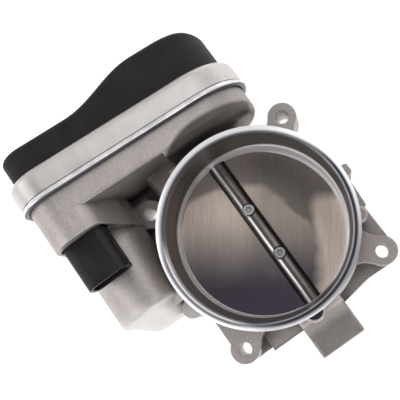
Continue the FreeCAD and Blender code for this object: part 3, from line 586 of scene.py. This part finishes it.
def materials():
    finishes = {
        "cast_aluminium": cast_aluminium(),
        "band_aluminium": band_aluminium(),
        "plate_metal": plate_metal(),
        "shaft_steel": shaft_steel(),
    }
    for name, (base, rough, grain_mm, others) in METALS.items():
        finishes[name] = metal(name, base, rough, grain_mm, **others)
    for name, (base, rough, others) in PLASTICS.items():
        finishes[name] = moulded(name, base, rough, **others)
    finishes["board"] = circuit_board()
    return finishes


def dress_nodes(finishes):
    for part in frame["record"]["subparts"]:
        mesh = frame["nodes"][part["node"]].data
        mesh.materials.clear()
        mesh.materials.append(finishes[part["material_slot"]])


# ---- the band, with its rolled shoulder and lip ----
CASE_CIRCLES = ((1.8, 20.5, 34.0), (-70.5, 62.0, 14.0), (-58.0, 20.0, 27.0))    # y, z, r in mm
TURN_STEPS = 720                # steps of angle in one turn round the case
ARC_EVERY = 4                   # on an arc, every fourth step is kept
HALVINGS = 40                   # to find where one circle hands over to the next
STRAIGHT_STEP_MM = 1.5
SHOULDER_R_MM, SHOULDER_X_MM, SHOULDER_STEP = 3.8, -77.2, 7.5      # the step is in degrees
SIDE_WAVE_MM, LIP_WAVE_MM = 0.04, 0.10  # height of the waves left by rolling
LIP_RATE = 1.3                          # the lip's waves are this much closer together
LIP_X_MM, CALM_X_MM = -69, -79          # x where the lip starts, and where the waves stop
CALM_OUT_MM = -1.0                      # the inside of the band has no waves


def reach(circle, angle):
    """How far a circle reaches in a direction from the origin."""
    return circle[0] * math.cos(angle) + circle[1] * math.sin(angle) + circle[2]


def leader(angle):
    """The circle that reaches furthest in a direction."""
    return max(range(len(CASE_CIRCLES)), key=lambda k: reach(CASE_CIRCLES[k], angle))


def spot_on(k, angle):
    y, z, r = CASE_CIRCLES[k]
    return Vector((y + r * math.cos(angle), z + r * math.sin(angle)))


def outline():
    """(y, z, direction, travel) round the case: arcs about the circles, and straights between."""
    points = []
    for i in range(TURN_STEPS):
        low, high = (2 * math.pi * (i + k) / TURN_STEPS for k in (0, 1))
        first, second = leader(low), leader(high)
        if i % ARC_EVERY == 0 or first != second:
            points.append((spot_on(first, low), low))
        if first != second:
            for _ in range(HALVINGS):
                middle = 0.5 * (low + high)
                low, high = (middle, high) if leader(middle) == first else (low, middle)
            start, end = spot_on(first, low), spot_on(second, low)
            count = max(1, int((end - start).length / STRAIGHT_STEP_MM))
            points.extend((start.lerp(end, k / count), low) for k in range(count + 1))
    travel = 0.0
    result = []
    for i, (point, angle) in enumerate(points):
        if i:
            travel += (point - points[i - 1][0]).length
        result.append((point.x, point.y, angle, travel))
    return result


def band_profile():
    """(out, x) in mm round the band's section: shoulder, side, bead, rolled lip, then back inside."""
    shoulder = [(-SHOULDER_R_MM + SHOULDER_R_MM * math.cos(a), SHOULDER_X_MM - SHOULDER_R_MM * math.sin(a))
                for a in (math.radians(90 - SHOULDER_STEP * k) for k in range(13))]
    side = [(0.05, -75.5), (0.07, -74.0), (0.05, -72.5), (0.0, -71.0), (-0.08, -69.8)]
    bead = [(-0.16, -69.0), (-0.20, -68.5), (-0.14, -68.0), (0.04, -67.55)]
    lip = [(0.26, -67.2), (0.44, -66.8), (0.50, -66.35), (0.42, -65.9), (0.18, -65.55),
           (-0.30, -65.35), (-2.0, -65.3)]
    inside = [(-2.3, -66.0), (-1.9, -70.0), (-1.9, -77.0), (-3.9, -79.6)]
    return [(-3.9, -80.9)] + shoulder + side + bead + lip + inside


def ripple(travel):
    """Slight waves, from -1 to 1, with a length that doesn't repeat round the band."""
    return math.sin(travel / 5.3 + 0.6) * math.sin(travel / 13.1)


def make_band(finish):
    section = band_profile()
    mesh = bmesh.new()
    rings = []
    for y, z, angle, travel in outline():
        ring = []
        for out, x in section:
            if x <= CALM_X_MM or out <= CALM_OUT_MM:
                wave = 0.0
            elif x < LIP_X_MM:
                wave = SIDE_WAVE_MM * ripple(travel)
            else:
                wave = LIP_WAVE_MM * ripple(travel * LIP_RATE)
            away = (out + wave) * MM
            ring.append(mesh.verts.new((x * MM, y * MM + away * math.cos(angle),
                                        z * MM + away * math.sin(angle))))
        rings.append(ring)
    for i, ring in enumerate(rings):
        after = rings[(i + 1) % len(rings)]
        for k in range(len(ring)):
            n = (k + 1) % len(ring)
            mesh.faces.new((ring[k], ring[n], after[n], after[k]))
    bmesh.ops.remove_doubles(mesh, verts=mesh.verts, dist=1e-6)
    bmesh.ops.recalc_face_normals(mesh, faces=mesh.faces)
    data = bpy.data.meshes.new("rolled_band")
    mesh.to_mesh(data)
    mesh.free()
    data.shade_smooth()
    data.materials.append(finish)
    band = put_in_scene("rolled_band", data)
    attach(band, "housing")
    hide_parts("closing_band")


# ---- studio ----
TENT_LIGHT = 0.72
TENT_DARK = 0.07
TENT_TINT = (1.0, 0.985, 0.97, 1.0)
SLOT_TINT = (0.88, 0.94, 1.20, 1.0)
# the dark slot: cosines with these directions, from where it starts to where it is full
RISE, SIDE, BEYOND, UP = (-1, 1, 0), (1, 1, 0), (0.955, 0.247, 0.0), (0, 0, 1)
SLOT_RISE = ((-0.66, -0.48), (0.22, 0.12))
SLOT_SIDE = ((0.75, 0.55), (-0.55, -0.25))
SLOT_BEYOND, SLOT_UP = (0.42, 0.62), (0.0, 0.2)
LAMP_AIM = Vector((0, -0.01, 0.02))
LAMPS = (       # name, place, size, power and colour
    ("key", (0.95, -0.10, 0.50), (0.7, 0.9), 3.5, (1.0, 0.985, 0.97)),
    ("top", (-0.25, 0.75, 0.95), (0.9, 0.7), 1.8, (0.98, 0.99, 1.0)),
    ("front", (0.15, -0.60, 0.75), (0.5, 0.5), 1.6, (1.0, 0.99, 0.98)),
    ("left", (-0.55, -0.75, 0.60), (0.6, 0.6), 1.5, (0.97, 0.98, 1.0)),
)
FLOOR_HALF = 12.0
FLOOR_GAP = 0.0005
FLOOR_GLOW = 0.60


def area_light(name, place, size, power, colour):
    data = bpy.data.lights.new(name, "AREA")
    data.shape = "RECTANGLE"
    data.size, data.size_y = size
    data.energy = power
    data.color = colour
    lamp = put_in_scene(name, data)
    lamp.location = place
    lamp.rotation_euler = (LAMP_AIM - Vector(place)).to_track_quat("-Z", "Y").to_euler()


def make_world():
    """A white tent with one dark slot, which the plate and the rim mirror."""
    world = bpy.data.worlds.new("tent")
    bpy.context.scene.world = world
    world.use_nodes = True
    tree = world.node_tree
    back = tree.nodes["Background"]
    way = tree.nodes.new("ShaderNodeTexCoord").outputs["Generated"]

    def along(towards):
        dot = tree.nodes.new("ShaderNodeVectorMath")
        dot.operation = "DOT_PRODUCT"
        dot.inputs[1].default_value = Vector(towards).normalized()
        tree.links.new(way, dot.inputs[0])
        return dot.outputs["Value"]

    def ramp(value, low, high, to_low=0.0, to_high=1.0):
        made = tree.nodes.new("ShaderNodeMapRange")
        made.interpolation_type = "SMOOTHSTEP"
        for key, number in (("From Min", low), ("From Max", high),
                            ("To Min", to_low), ("To Max", to_high)):
            made.inputs[key].default_value = number
        tree.links.new(value, made.inputs["Value"])
        return made.outputs["Result"]

    def calculate(operation, first, second):
        made = tree.nodes.new("ShaderNodeMath")
        made.operation = operation
        tree.links.new(first, made.inputs[0])
        tree.links.new(second, made.inputs[1])
        return made.outputs["Value"]

    def times(first, second):
        return calculate("MULTIPLY", first, second)

    rise = along(RISE)
    side = along(SIDE)
    width = times(ramp(side, *SLOT_SIDE[0]), ramp(side, *SLOT_SIDE[1]))
    overhead = times(ramp(rise, *SLOT_RISE[0]), width)
    beyond = ramp(along(BEYOND), *SLOT_BEYOND)
    limits = times(ramp(rise, *SLOT_RISE[1]), ramp(along(UP), *SLOT_UP))
    slot = times(calculate("MAXIMUM", overhead, beyond), limits)
    tree.links.new(ramp(slot, 0.0, 1.0, TENT_LIGHT, TENT_DARK), back.inputs["Strength"])

    tint = tree.nodes.new("ShaderNodeMix")
    tint.data_type = "RGBA"
    first, second, out = MIX_SOCKETS["RGBA"]
    tree.links.new(slot, tint.inputs["Factor"])
    tint.inputs[first].default_value = TENT_TINT
    tint.inputs[second].default_value = SLOT_TINT
    tree.links.new(tint.outputs[out], back.inputs["Color"])


def make_floor(z):
    mesh = bpy.data.meshes.new("floor")
    corners = [(x * FLOOR_HALF, y * FLOOR_HALF, z) for x, y in ((-1, -1), (1, -1), (1, 1), (-1, 1))]
    mesh.from_pydata(corners, [], [(0, 1, 2, 3)])
    floor = put_in_scene("floor", mesh)
    s = Shader("floor")
    s.surface(Base_Color=s.vary(s.noise(3, 4, 0.6), (0.90, 0.90, 0.90), (0.93, 0.93, 0.93)),
              Roughness=0.8,
              Emission_Color=(1.0, 1.0, 1.0),
              Emission_Strength=FLOOR_GLOW)
    mesh.materials.append(s.material)


finishes = materials()
dress_nodes(finishes)
make_band(finishes["band_aluminium"])
make_camera()
make_world()
make_floor(cad_box[0].z - FLOOR_GAP)
for lamp in LAMPS:
    area_light(*lamp)
bpy.context.scene.view_settings.view_transform = "Standard"
